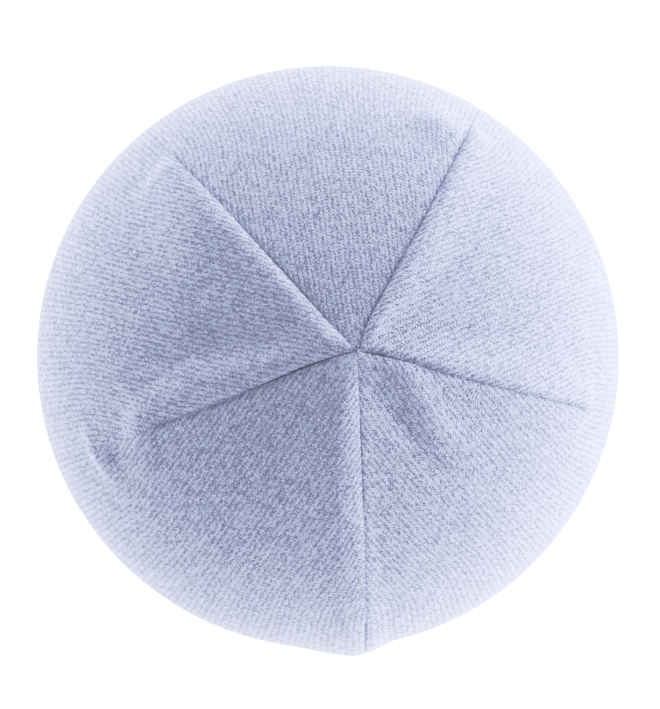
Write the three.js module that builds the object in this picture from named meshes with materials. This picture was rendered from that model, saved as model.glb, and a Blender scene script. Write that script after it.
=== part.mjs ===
// A fine rib-knit beanie, filled out as on a head and standing on its rim.
// One piece of cloth makes the whole hat. It is wrapped into a tube, closed by one seam at the back,
// and its top edge is cut into five pointed lobes. Four darts and the back seam draw the lobes
// together at the crown. Inside, along each seam, lies the strip of cloth that the seam turned under.
// Millimetres, +Z up. The origin is on the floor under the middle of the hat, and +Y is the front.
import * as THREE from 'three';
import { mergeVertices } from 'three/addons/utils/BufferGeometryUtils.js';

// Driving dimensions of the hat
const BODY_DIAMETER = 190; // outside, at the widest ring
const RIM_DIAMETER = 181; // outside, at the rim
const HEIGHT = 166; // rim to crown
const WIDEST_HEIGHT = 96; // height of the widest ring above the rim
const CONE_RISE = 12; // share of the crown's rise that is a plain cone, the rest is a dome
const DOME_FULLNESS = 0.93; // power of the dome's sine and cosine: 1 is an ellipse, less is squarer
const TIP_RISE = 2; // how much the crown point is drawn up above the dome
const TIP_REACH = 12; // distance from the crown point over which that falls away
const TIP_SETTLE = 2.5; // distance from the crown point over which all lobes come to one height
const TIP_LIFT = 0.8; // that height above the outline
const WALL = 2.4; // thickness of the knitted cloth
const CROWN_SHIFT = { x: 9, y: 1.6 }; // how far the crown point lies off the middle of the hat

// Lobes and seams
const LOBE_PUFF = -2; // how far a lobe swells between its two seams, negative where it is drawn flat
const PUFF_FULL_RADIUS = 0.7; // share of the widest radius by which that is full
const PUFF_FULL_HEIGHT = 0.6; // share of the dome's rise above which it is full, fading out below
const ROLL_RADIUS = 2.8; // the cloth rolls down into a seam over this width
const ROLL_REACH = 30; // distance from the crown point where the roll has its full depth
const LOWER_ROLL = 0.5; // share of the roll's depth on the side that isn't raised
const SEAM_GAP = 0.4; // clear width between the two edges of a seam
const SEAM_TURN_REACH = 14; // distance from the crown point over which a seam turns to its final line
const BAND_REACH = 18; // distance from the crown point over which the raised bands widen
const LOW_REACH = 8; // least distance from the crown point where the other sides have risen in full
const BOW_END = 0.95; // share of the widest radius where a bowed band has narrowed to nothing
const BOW_POWER = 1.3; // how sharply it narrows to both its ends
const WALL_FROM = 0.6; // share of the widest radius where a seam starts to change to its wall form
const WALL_FLAT = 2; // width over which a raised side stands proud in full on the wall
const WALL_EASE = 0.25; // share of the ease that is left on the wall
const EASE_FROM = 0.45; // shares of the widest radius between which the ease weakens to that
const EASE_TO = 0.95;
const EASE_LEAD = 0.75; // share of a seam's rise over which its ease is there in full
const EASE_SLOPE = 0.6; // the ease is no wider than this share of the distance from the crown point
const LOW_WALL_SPREAD = 11; // width of the bulge on a seam's other side on the wall
const DEGREE = Math.PI / 180;

// One row for each seam, in order round the hat.
// azimuth: direction of the seam in plan at the wall, anticlockwise from +X, in degrees
// swing, turn: how much further round it lies at the crown point, coming steadily and close to that point
// end: plan radius of the dart's end as a share of the widest radius, or null where it runs to the rim
// fade: length over which the dart dies out before its end
// outlast: how much further its raised band runs on
// raised: which side lies over the turned-under cloth, +1 anticlockwise or -1 clockwise
const SEAMS = [
  { name: 'front_right', azimuth: 58.6, swing: 4, turn: 14, end: 0.89, fade: 7, outlast: 0, raised: -1 },
  { name: 'front_left', azimuth: 128.8, swing: 2.2, turn: 4, end: 0.89, fade: 9, outlast: 0, raised: 1 },
  { name: 'left', azimuth: 201.2, swing: 0, turn: -13, end: 0.68, fade: 7, outlast: 10, raised: -1 },
  { name: 'back', azimuth: 277.1, swing: -3.6, turn: -2, end: null, fade: 1, outlast: 0, raised: -1 },
  { name: 'right', azimuth: 348.6, swing: -3, turn: 8, end: 0.865, fade: 7, outlast: 0, raised: 1 },
];

// The band of cloth that stands proud on each seam's raised side, one row for each seam.
// step, wallStep: how far it stands proud, on the crown and on the wall
// rise: distance from the crown point where it does in full
// flat: distance from the seam over which it does
// lead: power of the fall from there, less than 1 where it is steepest at once
// run, wallRun: distance from the seam where it has come level, on the crown and on the wall
// bowed: whether the band narrows again towards the wall
const BANDS = {
  front_right: { step: 1.7, wallStep: 1, rise: 9, flat: 4, lead: 1, run: 17, wallRun: 14, bowed: false },
  front_left: { step: 2.8, wallStep: 0.2, rise: 12, flat: 8, lead: 1, run: 34, wallRun: 15, bowed: false },
  left: { step: 1.5, wallStep: 1.2, rise: 0, flat: 7, lead: 1, run: 19, wallRun: 15, bowed: true },
  back: { step: 4.2, wallStep: 3.4, rise: 20, flat: 8, lead: 0.7, run: 40, wallRun: 27, bowed: false },
  right: { step: 3, wallStep: 0.8, rise: 30, flat: 0, lead: 1, run: 17, wallRun: 14, bowed: false },
};

// How the cloth meets each seam, one row for each.
// ease, easeWidth, easePower: how far, over what width and how unevenly the raised side bends down to it
// lowStep, lowWallStep, lowSpread: how far the other side stands proud, and the width it does so over
const EDGES = {
  front_right: { ease: 0.9, easeWidth: 3, easePower: 2, lowStep: 0.3, lowWallStep: 0, lowSpread: 5 },
  front_left: { ease: 2.9, easeWidth: 7.5, easePower: 2.6, lowStep: 0, lowWallStep: 0, lowSpread: 5 },
  left: { ease: 0.4, easeWidth: 4, easePower: 2, lowStep: 0.5, lowWallStep: 0, lowSpread: 7 },
  back: { ease: 3.4, easeWidth: 12, easePower: 2, lowStep: 0.8, lowWallStep: 2.3, lowSpread: 5.5 },
  right: { ease: 0.3, easeWidth: 3, easePower: 2, lowStep: 1.9, lowWallStep: 0.2, lowSpread: 14 },
};

// The tight roll of both sides into each seam, one row for each: its depth, and its share at the crown point
const ROLLS = {
  front_right: { depth: 1.4, start: 0.4 },
  front_left: { depth: 0.5, start: 0.4 },
  left: { depth: 1.6, start: 0.3 },
  back: { depth: 0.3, start: 0.4 },
  right: { depth: 0.8, start: 1.9 },
};

// One row for each soft dent or fold of the crown, placed in plan from the middle of the hat.
// x, y: its middle; heading: direction of its line, in degrees; length, width: its reach along and
// across that line; depth: how far it sinks, negative where it rises
const FOLDS = [
  { name: 'rear_right_hollow', x: 23, y: -21.5, heading: -52, length: 15, width: 4.5, depth: 1.3 },
  { name: 'rear_right_ridge', x: 30, y: -15, heading: -52, length: 16, width: 5, depth: -1.5 },
  { name: 'rear_right_crest', x: 23, y: -4.5, heading: -20, length: 9, width: 4, depth: -0.8 },
  { name: 'left_hollow', x: -25, y: 5, heading: 12, length: 26, width: 8, depth: 1.1 },
  { name: 'left_crest', x: -11.8, y: 4.9, heading: -15, length: 13, width: 4.5, depth: -0.7 },
  { name: 'left_front_swell', x: -45, y: 31, heading: 70, length: 20, width: 12, depth: -0.9 },
  { name: 'left_shoulder', x: -60, y: -24, heading: 95, length: 14, width: 6, depth: -0.9 },
  { name: 'left_pucker', x: -70.5, y: -32.5, heading: -64, length: 8, width: 3.4, depth: -0.8 },
  { name: 'front_bump', x: 35.2, y: 73.9, heading: 150, length: 8, width: 5.5, depth: -2.4 },
];
const FOLD_FADE_HEIGHT = 20; // folds fade out over this height above the widest ring

// Turned-under cloth inside each seam
const STRIP_WIDTH = 6; // across the seam, on its raised side
const STRIP_THICKNESS = 2;
const STRIP_CLEARANCE = 0.35; // to the inside of the wall
const STRIP_EDGE_DROP = 0.5; // how much lower its rounded edges are than its middle
const STRIP_SEAM_MARGIN = 0.3; // its distance from the seam's middle line
const STRIP_START = 11; // plan radius where the strips begin, clear of each other at the crown point
const STRIP_NARROW = 1.6; // width of a strip where it starts and ends
const STRIP_TAPER = 16; // length over which it widens from that
const STRIP_RIM_MARGIN = 3; // the back strip stops this far above the rim

// Resolution of the faceted cloth
const FIRST_ROW = 7; // arc length from the crown point to the first row
const CROWN_ROW_STEP = 6.2;
const WALL_ROW_STEP = 12.5;
const STRIP_STEP = 7.5;
const OUTLINE_STEPS = 800; // chords by which the outline's length is measured
const CROWN_PARAMETER_SHARE = 0.55; // share of the outline's parameter spent on the crown
const ARC_TOLERANCE = 0.01;
const MERGE_TOLERANCE = 1e-3; // vertices closer than this are one
const HALF_LOBE_COLUMNS = 9;
const EVEN_COLUMNS_RADIUS = 30; // columns are even at the crown point and crowd to the seams past this
const COLUMN_CROWDING = 2.2; // power that crowds the columns towards the seams
const TIP_RADIUS = 0.36; // distance of each lobe's tip from the crown point
const SMALL = 1e-6;

const BODY_RADIUS = BODY_DIAMETER / 2;
const RIM_RADIUS = RIM_DIAMETER / 2;
const DOME_RISE = HEIGHT - WIDEST_HEIGHT - CONE_RISE - TIP_RISE;
const CLOTH_COLOUR = 0xa9b2d2;
const STRIP_COLOUR = 0x9ea7c8;

const clamp01 = (x) => Math.min(1, Math.max(0, x));
const smooth = (x) => clamp01(x) ** 2 * (3 - 2 * clamp01(x));

// The hat's outline from the crown point to the rim, as plan radius and height
class Meridian extends THREE.Curve {
  getPoint(t, target = new THREE.Vector2()) {
    if (t < CROWN_PARAMETER_SHARE) {
      const angle = (t / CROWN_PARAMETER_SHARE) * (Math.PI / 2);
      const radius = BODY_RADIUS * Math.sin(angle) ** DOME_FULLNESS;
      const dome = DOME_RISE * Math.abs(Math.cos(angle)) ** DOME_FULLNESS;
      const cone = CONE_RISE * (1 - radius / BODY_RADIUS);
      const tip = TIP_RISE * Math.exp(-radius / TIP_REACH);
      return target.set(radius, WIDEST_HEIGHT + dome + cone + tip);
    }
    const height = (WIDEST_HEIGHT * (1 - t)) / (1 - CROWN_PARAMETER_SHARE);
    const swell = 0.5 - 0.5 * Math.cos((Math.PI * height) / WIDEST_HEIGHT);
    return target.set(RIM_RADIUS + (BODY_RADIUS - RIM_RADIUS) * swell, height);
  }
}
const meridian = new Meridian();
meridian.arcLengthDivisions = OUTLINE_STEPS;
const CLOTH_LENGTH = meridian.getLength();
const CROWN_LENGTH = meridian.getLengths()[Math.round(OUTLINE_STEPS * CROWN_PARAMETER_SHARE)];

// Radius, height and outward direction of the outline at an arc length from the crown point
function outlineAt(arc) {
  const share = clamp01(arc / CLOTH_LENGTH);
  const point = meridian.getPointAt(share);
  const along = meridian.getTangentAt(share);
  return { arc, radius: point.x, height: point.y, outX: -along.y, outZ: along.x };
}

// Arc length at which the crown reaches a plan radius
function arcAtRadius(radius) {
  let low = 0;
  let high = CROWN_LENGTH;
  while (high - low > ARC_TOLERANCE) {
    const middle = (low + high) / 2;
    if (outlineAt(middle).radius < radius) low = middle;
    else high = middle;
  }
  return low;
}

for (const seam of SEAMS) {
  seam.endArc = seam.end === null ? Infinity : arcAtRadius(seam.end * BODY_RADIUS);
  seam.band = BANDS[seam.name];
  seam.edge = EDGES[seam.name];
  seam.roll = ROLLS[seam.name];
}
const WALL_FROM_ARC = arcAtRadius(WALL_FROM * BODY_RADIUS);

// Azimuth of a seam where the outline has this radius, in radians
function seamAzimuth(seam, radius) {
  const swing = seam.swing * (1 - radius / BODY_RADIUS);
  return (seam.azimuth + swing + seam.turn * Math.exp(-radius / SEAM_TURN_REACH)) * DEGREE;
}

// A seam's strength: 1 along it, running out to 0 at a dart's end, or further on by a length
const seamStrength = (seam, arc, further = 0) => smooth((seam.endArc + further - arc) / seam.fade);

// A lobe lies between two seams. Its edges are in radians at the given radius.
function lobeEdges(lobe, radius) {
  const next = (lobe + 1) % SEAMS.length;
  const from = seamAzimuth(SEAMS[lobe], radius);
  const to = seamAzimuth(SEAMS[next], radius) + (next === 0 ? 2 * Math.PI : 0);
  return { from, to };
}

// How far the cloth rolls down into a seam, at distance x on one of its sides
function seamRoll(seam, outline, x, side) {
  const { depth, start } = seam.roll;
  const share = side === seam.raised ? 1 : LOWER_ROLL;
  const reach = start + (1 - start) * smooth(outline.radius / ROLL_REACH);
  return -depth * share * reach * clamp01(1 - x / ROLL_RADIUS) ** 2 * seamStrength(seam, outline.arc);
}

// How wide a seam's raised band is where the outline has this radius, as a share of its full width
function bandWidth(seam, radius) {
  if (!seam.band.bowed) return 1 - Math.exp(-radius / BAND_REACH);
  const along = clamp01(radius / (BOW_END * BODY_RADIUS));
  return Math.max(Math.sin(Math.PI * along), SMALL) ** BOW_POWER;
}

// How far a seam lifts the cloth at distance x on one of its sides
function seamStep(seam, outline, x, side) {
  const { band, edge } = seam;
  const { arc, radius } = outline;
  const strength = seamStrength(seam, arc, seam.outlast);
  const wall = smooth((arc - WALL_FROM_ARC) / (CROWN_LENGTH - WALL_FROM_ARC));
  const mix = (onCrown, onWall) => onCrown + (onWall - onCrown) * wall;
  if (side !== seam.raised) {
    const low = mix(edge.lowStep, edge.lowWallStep) * smooth(radius / Math.max(band.rise, LOW_REACH));
    return low * (1 - smooth(x / mix(edge.lowSpread, LOW_WALL_SPREAD))) * strength;
  }
  const flat = mix(band.flat, Math.min(band.flat, WALL_FLAT));
  const run = mix(band.run, band.wallRun);
  const width = bandWidth(seam, radius);
  const level = 1 - smooth(clamp01((x / width - flat) / (run - flat)) ** band.lead);
  const risen = smooth(radius / Math.max(band.rise, SMALL));
  const lift = mix(band.step, band.wallStep) * level * risen * (band.bowed ? width : 1);
  const easeWidth = Math.min(edge.easeWidth, EASE_SLOPE * radius);
  const weaker = smooth((radius / BODY_RADIUS - EASE_FROM) / (EASE_TO - EASE_FROM));
  const eased = smooth(radius / Math.max(EASE_LEAD * band.rise, SMALL));
  const ease = ((edge.ease * easeWidth) / edge.easeWidth) * (1 - (1 - WALL_EASE) * weaker) * eased;
  return (lift - ease * clamp01(1 - x / easeWidth) ** edge.easePower) * strength;
}

// The dents and folds of the crown at a plan position
function foldLift(x, y, height) {
  let lift = 0;
  for (const fold of FOLDS) {
    const heading = fold.heading * DEGREE;
    const along = (x - fold.x) * Math.cos(heading) + (y - fold.y) * Math.sin(heading);
    const across = -(x - fold.x) * Math.sin(heading) + (y - fold.y) * Math.cos(heading);
    lift -= fold.depth * Math.exp(-((along / fold.length) ** 2) - (across / fold.width) ** 2);
  }
  return lift * smooth((height - WIDEST_HEIGHT) / FOLD_FADE_HEIGHT);
}

// A point of the cloth. share is 0 to 1 across the lobe, inset pushes it in from the outer face,
// and rollShare is how much of the seams' narrow roll that face follows.
function clothPoint(lobe, outline, share, inset, rollShare) {
  const { arc, radius, height, outX, outZ } = outline;
  const { from, to } = lobeEdges(lobe, radius);
  const seams = [SEAMS[lobe], SEAMS[(lobe + 1) % SEAMS.length]];
  const width = (to - from) * radius;
  const gaps = seams.map((seam) => (seamStrength(seam, arc, seam.outlast) * SEAM_GAP) / 2);
  const across = gaps[0] + share * (width - gaps[0] - gaps[1]);
  const azimuth = from + across / radius;
  const fromCrown = smooth(radius / (PUFF_FULL_RADIUS * BODY_RADIUS));
  const fromWall = smooth((height - WIDEST_HEIGHT) / (PUFF_FULL_HEIGHT * DOME_RISE));
  const roll = seamRoll(seams[0], outline, across, 1) + seamRoll(seams[1], outline, width - across, -1);
  const step = seamStep(seams[0], outline, across, 1) + seamStep(seams[1], outline, width - across, -1);
  const puff = LOBE_PUFF * fromCrown * fromWall * (1 - (2 * share - 1) ** 2);
  const shift = height > WIDEST_HEIGHT ? 1 - (radius / BODY_RADIUS) ** 2 : 0;
  const middleX = CROWN_SHIFT.x * shift;
  const middleY = CROWN_SHIFT.y * shift;
  const planX = middleX + radius * Math.cos(azimuth);
  const planY = middleY + radius * Math.sin(azimuth);
  const settle = smooth(radius / TIP_SETTLE);
  const form = puff + step + rollShare * roll + foldLift(planX, planY, height);
  const lift = settle * form + (1 - settle) * TIP_LIFT - inset;
  const reach = radius + outX * lift;
  return new THREE.Vector3(
    middleX + reach * Math.cos(azimuth),
    middleY + reach * Math.sin(azimuth),
    height + outZ * lift,
  );
}

// Arc lengths of the cloth's rows: close over the crown and shoulder, wide down the wall
function clothRows() {
  const crownSteps = Math.round((CROWN_LENGTH - FIRST_ROW) / CROWN_ROW_STEP);
  const wallSteps = Math.round((CLOTH_LENGTH - CROWN_LENGTH) / WALL_ROW_STEP);
  const rows = [];
  for (let i = 0; i < crownSteps; i++) {
    rows.push(FIRST_ROW + ((CROWN_LENGTH - FIRST_ROW) * i) / crownSteps);
  }
  for (let i = 0; i <= wallSteps; i++) {
    rows.push(CROWN_LENGTH + ((CLOTH_LENGTH - CROWN_LENGTH) * i) / wallSteps);
  }
  return rows.map(outlineAt);
}

// Shares across a lobe of its columns, crowded towards both seams away from the crown point
function lobeShares(radius) {
  const power = 1 + (COLUMN_CROWDING - 1) * smooth(radius / EVEN_COLUMNS_RADIUS);
  const shares = [];
  for (let i = 0; i <= 2 * HALF_LOBE_COLUMNS; i++) {
    const fromEdge = 1 - Math.abs(1 - i / HALF_LOBE_COLUMNS);
    const share = 0.5 * fromEdge ** power;
    shares.push(i <= HALF_LOBE_COLUMNS ? share : 1 - share);
  }
  return shares;
}

// A closed body gathered from triangles and quads, whose vertices are merged where they meet
class Body {
  constructor() {
    this.positions = [];
  }
  triangle(a, b, c) {
    for (const point of [a, b, c]) this.positions.push(point.x, point.y, point.z);
  }
  quad(a, b, c, d) {
    this.triangle(a, b, c);
    this.triangle(a, c, d);
  }
  geometry() {
    const soup = new THREE.BufferGeometry();
    soup.setAttribute('position', new THREE.Float32BufferAttribute(this.positions, 3));
    const merged = mergeVertices(soup, MERGE_TOLERANCE);
    merged.computeVertexNormals();
    return merged;
  }
}

// The cloth: outer and inner faces of each lobe, the cut edges along the seams, and the rim
function knitBody() {
  const rows = clothRows();
  const body = new Body();
  const last = 2 * HALF_LOBE_COLUMNS;
  for (let lobe = 0; lobe < SEAMS.length; lobe++) {
    const seams = [SEAMS[lobe], SEAMS[(lobe + 1) % SEAMS.length]];
    const rowPoints = (row, inset, rollShare) => {
      return lobeShares(row.radius).map((share) => clothPoint(lobe, row, share, inset, rollShare));
    };
    const face = (inset, rollShare) => rows.map((row) => rowPoints(row, inset, rollShare));
    const outer = face(0, 1);
    const inner = face(WALL, 0);
    const tipRow = { ...outlineAt(ARC_TOLERANCE), radius: TIP_RADIUS };
    const outerTip = clothPoint(lobe, tipRow, 0.5, 0, 0);
    const innerTip = clothPoint(lobe, tipRow, 0.5, WALL, 0);
    for (let j = 0; j < last; j++) {
      body.triangle(outerTip, outer[0][j], outer[0][j + 1]);
      body.triangle(innerTip, inner[0][j + 1], inner[0][j]);
      for (let i = 0; i + 1 < rows.length; i++) {
        body.quad(outer[i][j], outer[i + 1][j], outer[i + 1][j + 1], outer[i][j + 1]);
        body.quad(inner[i][j], inner[i][j + 1], inner[i + 1][j + 1], inner[i + 1][j]);
      }
      const end = rows.length - 1;
      body.quad(outer[end][j], inner[end][j], inner[end][j + 1], outer[end][j + 1]);
    }
    for (const [column, seam] of [[0, seams[0]], [last, seams[1]]]) {
      const edge = (i) => (i < 0 ? [outerTip, innerTip] : [outer[i][column], inner[i][column]]);
      for (let i = -1; i + 1 < rows.length; i++) {
        const open = i < 0 || rows[i].arc < seam.endArc + seam.outlast;
        if (!open) continue;
        const [outA, inA] = edge(i);
        const [outB, inB] = edge(i + 1);
        if (column === 0) body.quad(outA, inA, inB, outB);
        else body.quad(outA, outB, inB, inA);
      }
    }
  }
  return body.geometry();
}

// The turned-under strip of one seam: a flat ribbon lying on the inside, beside the seam
function seamStrip(index) {
  const seam = SEAMS[index];
  const lobe = seam.raised > 0 ? index : (index + SEAMS.length - 1) % SEAMS.length;
  const start = arcAtRadius(STRIP_START);
  const end = Math.min(seam.endArc, CLOTH_LENGTH - STRIP_RIM_MARGIN);
  const steps = Math.round((end - start) / STRIP_STEP);
  const rings = [];
  for (let i = 0; i <= steps; i++) {
    const outline = outlineAt(start + ((end - start) * i) / steps);
    const { from, to } = lobeEdges(lobe, outline.radius);
    const fromEnds = Math.min(outline.arc - start, seam.end === null ? Infinity : end - outline.arc);
    const width = STRIP_NARROW + (STRIP_WIDTH - STRIP_NARROW) * smooth(fromEnds / STRIP_TAPER);
    const corner = (x, depth) => {
      const share = x / ((to - from) * outline.radius);
      return clothPoint(lobe, outline, seam.raised > 0 ? share : 1 - share, depth, 0);
    };
    const top = WALL + STRIP_CLEARANCE;
    const bottom = top + STRIP_THICKNESS;
    rings.push([
      corner(STRIP_SEAM_MARGIN, top + STRIP_EDGE_DROP),
      corner(width / 2, top),
      corner(width, top + STRIP_EDGE_DROP),
      corner(width, bottom - STRIP_EDGE_DROP),
      corner(width / 2, bottom),
      corner(STRIP_SEAM_MARGIN, bottom - STRIP_EDGE_DROP),
    ]);
  }
  if (seam.raised > 0) rings.forEach((ring) => ring.reverse());
  const body = new Body();
  for (let i = 0; i < steps; i++) {
    rings[i].forEach((corner, k) => {
      const next = (k + 1) % rings[i].length;
      body.quad(corner, rings[i][next], rings[i + 1][next], rings[i + 1][k]);
    });
  }
  const [first, final] = [rings[0], rings[steps]];
  for (let k = 1; k + 1 < first.length; k++) {
    body.triangle(first[0], first[k + 1], first[k]);
    body.triangle(final[0], final[k], final[k + 1]);
  }
  return body.geometry();
}

function named(name, geometry, color) {
  const material = new THREE.MeshStandardMaterial({ color, roughness: 0.95, metalness: 0 });
  const mesh = new THREE.Mesh(geometry, material);
  mesh.name = name;
  return mesh;
}

const beanie = new THREE.Group();
beanie.add(named('knit_body', knitBody(), CLOTH_COLOUR));
SEAMS.forEach((seam, index) => {
  beanie.add(named(`seam_strip_${seam.name}`, seamStrip(index), STRIP_COLOUR));
});

// The origin stays under the middle of the hat's outline, though the back seam stands proud of it
const outlineBox = new THREE.Box3().setFromObject(beanie);
const middle = outlineBox.getCenter(new THREE.Vector3());
beanie.children.forEach((mesh) => mesh.position.set(-middle.x, -middle.y, 0));

export default beanie;
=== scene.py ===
"""A fine rib-knit beanie standing on its rim, seen from straight above on a pale floor."""
import math

import bpy
import numpy as np
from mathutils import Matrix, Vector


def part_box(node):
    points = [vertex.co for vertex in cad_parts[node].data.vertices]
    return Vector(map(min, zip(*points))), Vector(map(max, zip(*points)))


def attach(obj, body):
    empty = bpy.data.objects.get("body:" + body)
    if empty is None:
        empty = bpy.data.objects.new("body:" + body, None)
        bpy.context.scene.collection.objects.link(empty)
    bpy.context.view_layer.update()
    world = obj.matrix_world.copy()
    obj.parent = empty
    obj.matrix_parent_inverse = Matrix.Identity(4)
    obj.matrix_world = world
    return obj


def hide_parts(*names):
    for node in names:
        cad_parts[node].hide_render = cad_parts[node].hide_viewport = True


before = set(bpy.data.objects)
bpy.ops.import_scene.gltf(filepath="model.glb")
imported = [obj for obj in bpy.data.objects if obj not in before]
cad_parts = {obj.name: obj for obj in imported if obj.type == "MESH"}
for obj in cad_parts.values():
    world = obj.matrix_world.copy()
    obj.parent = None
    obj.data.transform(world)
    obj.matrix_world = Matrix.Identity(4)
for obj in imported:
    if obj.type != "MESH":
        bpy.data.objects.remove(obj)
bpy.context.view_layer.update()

MM = 0.001
TINY = 1e-6  # keeps divisors and roots away from zero

# Shape of the hat, in millimetres
BODY_RADIUS = 95.0
RIM_RADIUS = 90.5
HEIGHT = 166.0
WIDEST_HEIGHT = 96.0
CONE_RISE = 12.0  # how much of the crown's height is a cone
DOME_FULLNESS = 0.93  # power of the dome's sine and cosine: 1 is an ellipse, less is fuller
TIP_RISE = 2.0  # how much the crown point is drawn up above the dome
TIP_REACH = 12.0
TIP_SETTLE = 2.5  # distance from the crown point over which all lobes come to one height there
TIP_LIFT = -0.4  # that height, from the outline
DOME_RISE = HEIGHT - WIDEST_HEIGHT - CONE_RISE - TIP_RISE
WALL = 2.4  # thickness of the cloth
CROWN_SHIFT = (9.0, 1.6)  # the crown point in plan, from the middle of the rim
LOBE_PUFF = -2.0  # the lobes are drawn flat between their seams
PUFF_FULL_RADIUS = 0.7  # share of the widest radius from which they are so in full
PUFF_FULL_HEIGHT = 0.6  # share of the dome's height from which they are so in full
ROLL_RADIUS = 2.8
LOWER_ROLL = 0.5  # share of the roll's depth on the side that isn't raised
ROLL_REACH = 30.0  # distance from the crown point where the roll is as deep as it gets
SEAM_GAP = 0.02
SEAM_TURN_REACH = 14.0
BAND_REACH = 18.0  # distance from the crown point over which the raised bands widen
LOW_REACH = 8.0  # least distance from the crown point where the other sides have risen in full
BOW_END = 0.95  # share of the widest radius where a bowed band has narrowed to nothing
BOW_POWER = 1.3
WALL_FROM = 0.6  # share of the widest radius where a seam starts to change to its wall form
WALL_FLAT = 2.0
WALL_EASE = 0.25  # share of the ease that is left on the wall
EASE_FROM = 0.45  # shares of the widest radius between which it weakens to that
EASE_TO = 0.95
EASE_LEAD = 0.75  # share of a seam's rise over which its ease is there in full
EASE_SLOPE = 0.6  # the ease is no wider than this share of the distance from the crown point
LOW_WALL_SPREAD = 11.0
FOLD_FADE_HEIGHT = 20.0  # folds fade out over this height above the widest ring

# One row for each seam.
# azimuth: its direction in plan at the wall, in degrees
# swing, turn: how much further round it lies at the crown point, coming steadily and close to that point
# end: plan radius of the dart's end as a share of the widest radius, None where it runs to the rim
# fade: length over which the dart dies out before its end
# outlast: how much further its raised band runs on
# raised: the side that lies over the turned-under cloth, +1 anticlockwise
# step, wall_step: how far that side stands proud on the crown and on the wall
# rise: distance from the crown point where it does in full
# flat: distance from the seam over which it does
# lead: power of the fall from there, less than 1 where it is steepest at once
# spread, wall_spread: distance from the seam where it has come level, on the crown and on the wall
# bowed: whether that band narrows again towards the wall
# low_step, low_wall_step, low_spread: how far the other side stands proud, and the width it does so over
# ease, ease_width, ease_power: how far, over what width and how unevenly the raised side bends down to it
# roll, roll_start: depth of the tight roll of both sides into the seam, and its share at the crown point
# line: how dark the painted shade along it is, which stands in for the shade in the seam's groove
SEAMS = [
    dict(name="front_right", azimuth=58.6, swing=4.0, turn=14.0, end=0.915, fade=7.0, outlast=0.0, raised=-1,
         step=1.7, wall_step=1.0, rise=9.0, flat=4.0, lead=1.0, spread=17.0, wall_spread=14.0, bowed=False,
         low_step=0.3, low_wall_step=0.0, low_spread=5.0, ease=0.9, ease_width=3.0, ease_power=2.0,
         roll=1.4, roll_start=0.4, line=0.5),
    dict(name="front_left", azimuth=128.8, swing=2.2, turn=4.0, end=0.89, fade=9.0, outlast=0.0, raised=1,
         step=2.8, wall_step=0.2, rise=12.0, flat=8.0, lead=1.0, spread=34.0, wall_spread=15.0, bowed=False,
         low_step=0.0, low_wall_step=0.0, low_spread=5.0, ease=2.9, ease_width=7.5, ease_power=2.6,
         roll=0.5, roll_start=0.4, line=0.1),
    dict(name="left", azimuth=201.2, swing=0.0, turn=-13.0, end=0.68, fade=7.0, outlast=10.0, raised=-1,
         step=1.5, wall_step=1.2, rise=0.0, flat=7.0, lead=1.0, spread=19.0, wall_spread=15.0, bowed=True,
         low_step=0.5, low_wall_step=0.0, low_spread=7.0, ease=0.4, ease_width=4.0, ease_power=2.0,
         roll=1.6, roll_start=0.3, line=0.45),
    dict(name="back", azimuth=277.1, swing=-3.6, turn=-2.0, end=None, fade=1.0, outlast=0.0, raised=-1,
         step=3.4, wall_step=3.4, rise=20.0, flat=8.0, lead=0.7, spread=40.0, wall_spread=27.0, bowed=False,
         low_step=0.6, low_wall_step=2.3, low_spread=5.5, ease=2.8, ease_width=12.0, ease_power=2.0,
         roll=0.3, roll_start=0.4, line=0.0),
    dict(name="right", azimuth=348.6, swing=-3.0, turn=8.0, end=0.89, fade=7.0, outlast=0.0, raised=1,
         step=3.0, wall_step=0.8, rise=30.0, flat=0.0, lead=1.0, spread=17.0, wall_spread=14.0, bowed=False,
         low_step=1.9, low_wall_step=0.2, low_spread=14.0, ease=0.3, ease_width=3.0, ease_power=2.0,
         roll=0.8, roll_start=1.9, line=0.5),
]

# One row for each soft dent or fold of the crown, placed in plan from the middle of the rim.
# x, y: its middle
# heading: direction of its line, in degrees
# length, width: its reach along and across that line
# depth: how far it sinks, negative where it rises
FOLDS = [
    dict(name="rear_right_hollow", x=23.0, y=-21.5, heading=-52, length=15, width=4.5, depth=1.3),
    dict(name="rear_right_ridge", x=30.0, y=-15.0, heading=-52, length=16, width=5.0, depth=-1.5),
    dict(name="left_hollow", x=-25.0, y=5.0, heading=12, length=26, width=8.0, depth=1.1),
    dict(name="left_crest", x=-13.0, y=-1.5, heading=18, length=14, width=5.0, depth=-1.0),
    dict(name="left_front_swell", x=-45.0, y=31.0, heading=70, length=20, width=12.0, depth=-0.9),
    dict(name="rear_right_crest", x=23.0, y=-4.5, heading=-20, length=9, width=4.0, depth=-0.8),
    dict(name="front_bump", x=35.2, y=73.9, heading=150, length=8, width=5.5, depth=-2.4),
    dict(name="left_shoulder", x=-60.0, y=-24.0, heading=95, length=14, width=6.0, depth=-0.9),
    dict(name="left_pucker", x=-70.5, y=-32.5, heading=-64, length=8, width=3.4, depth=-1.3),
    dict(name="left_crease", x=-73.5, y=-31.0, heading=-64, length=9, width=1.5, depth=-0.8),
]

# One row for each lobe, anticlockwise from the seam in the same row of SEAMS.
# ribs: how many it has
# lean: how far they lean from the lobe's middle line at the crown, in degrees
# pale: how much painted light brightens its knit near the crown point
LOBES = [
    dict(name="front", ribs=60, lean=2.5, painted_light=0.0),
    dict(name="left", ribs=62, lean=3.5, painted_light=0.0),
    dict(name="rear_left", ribs=60, lean=-2.0, painted_light=1.1),
    dict(name="rear_right", ribs=56, lean=-9.0, painted_light=0.6),
    dict(name="right", ribs=62, lean=1.5, painted_light=0.0),
]

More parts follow.
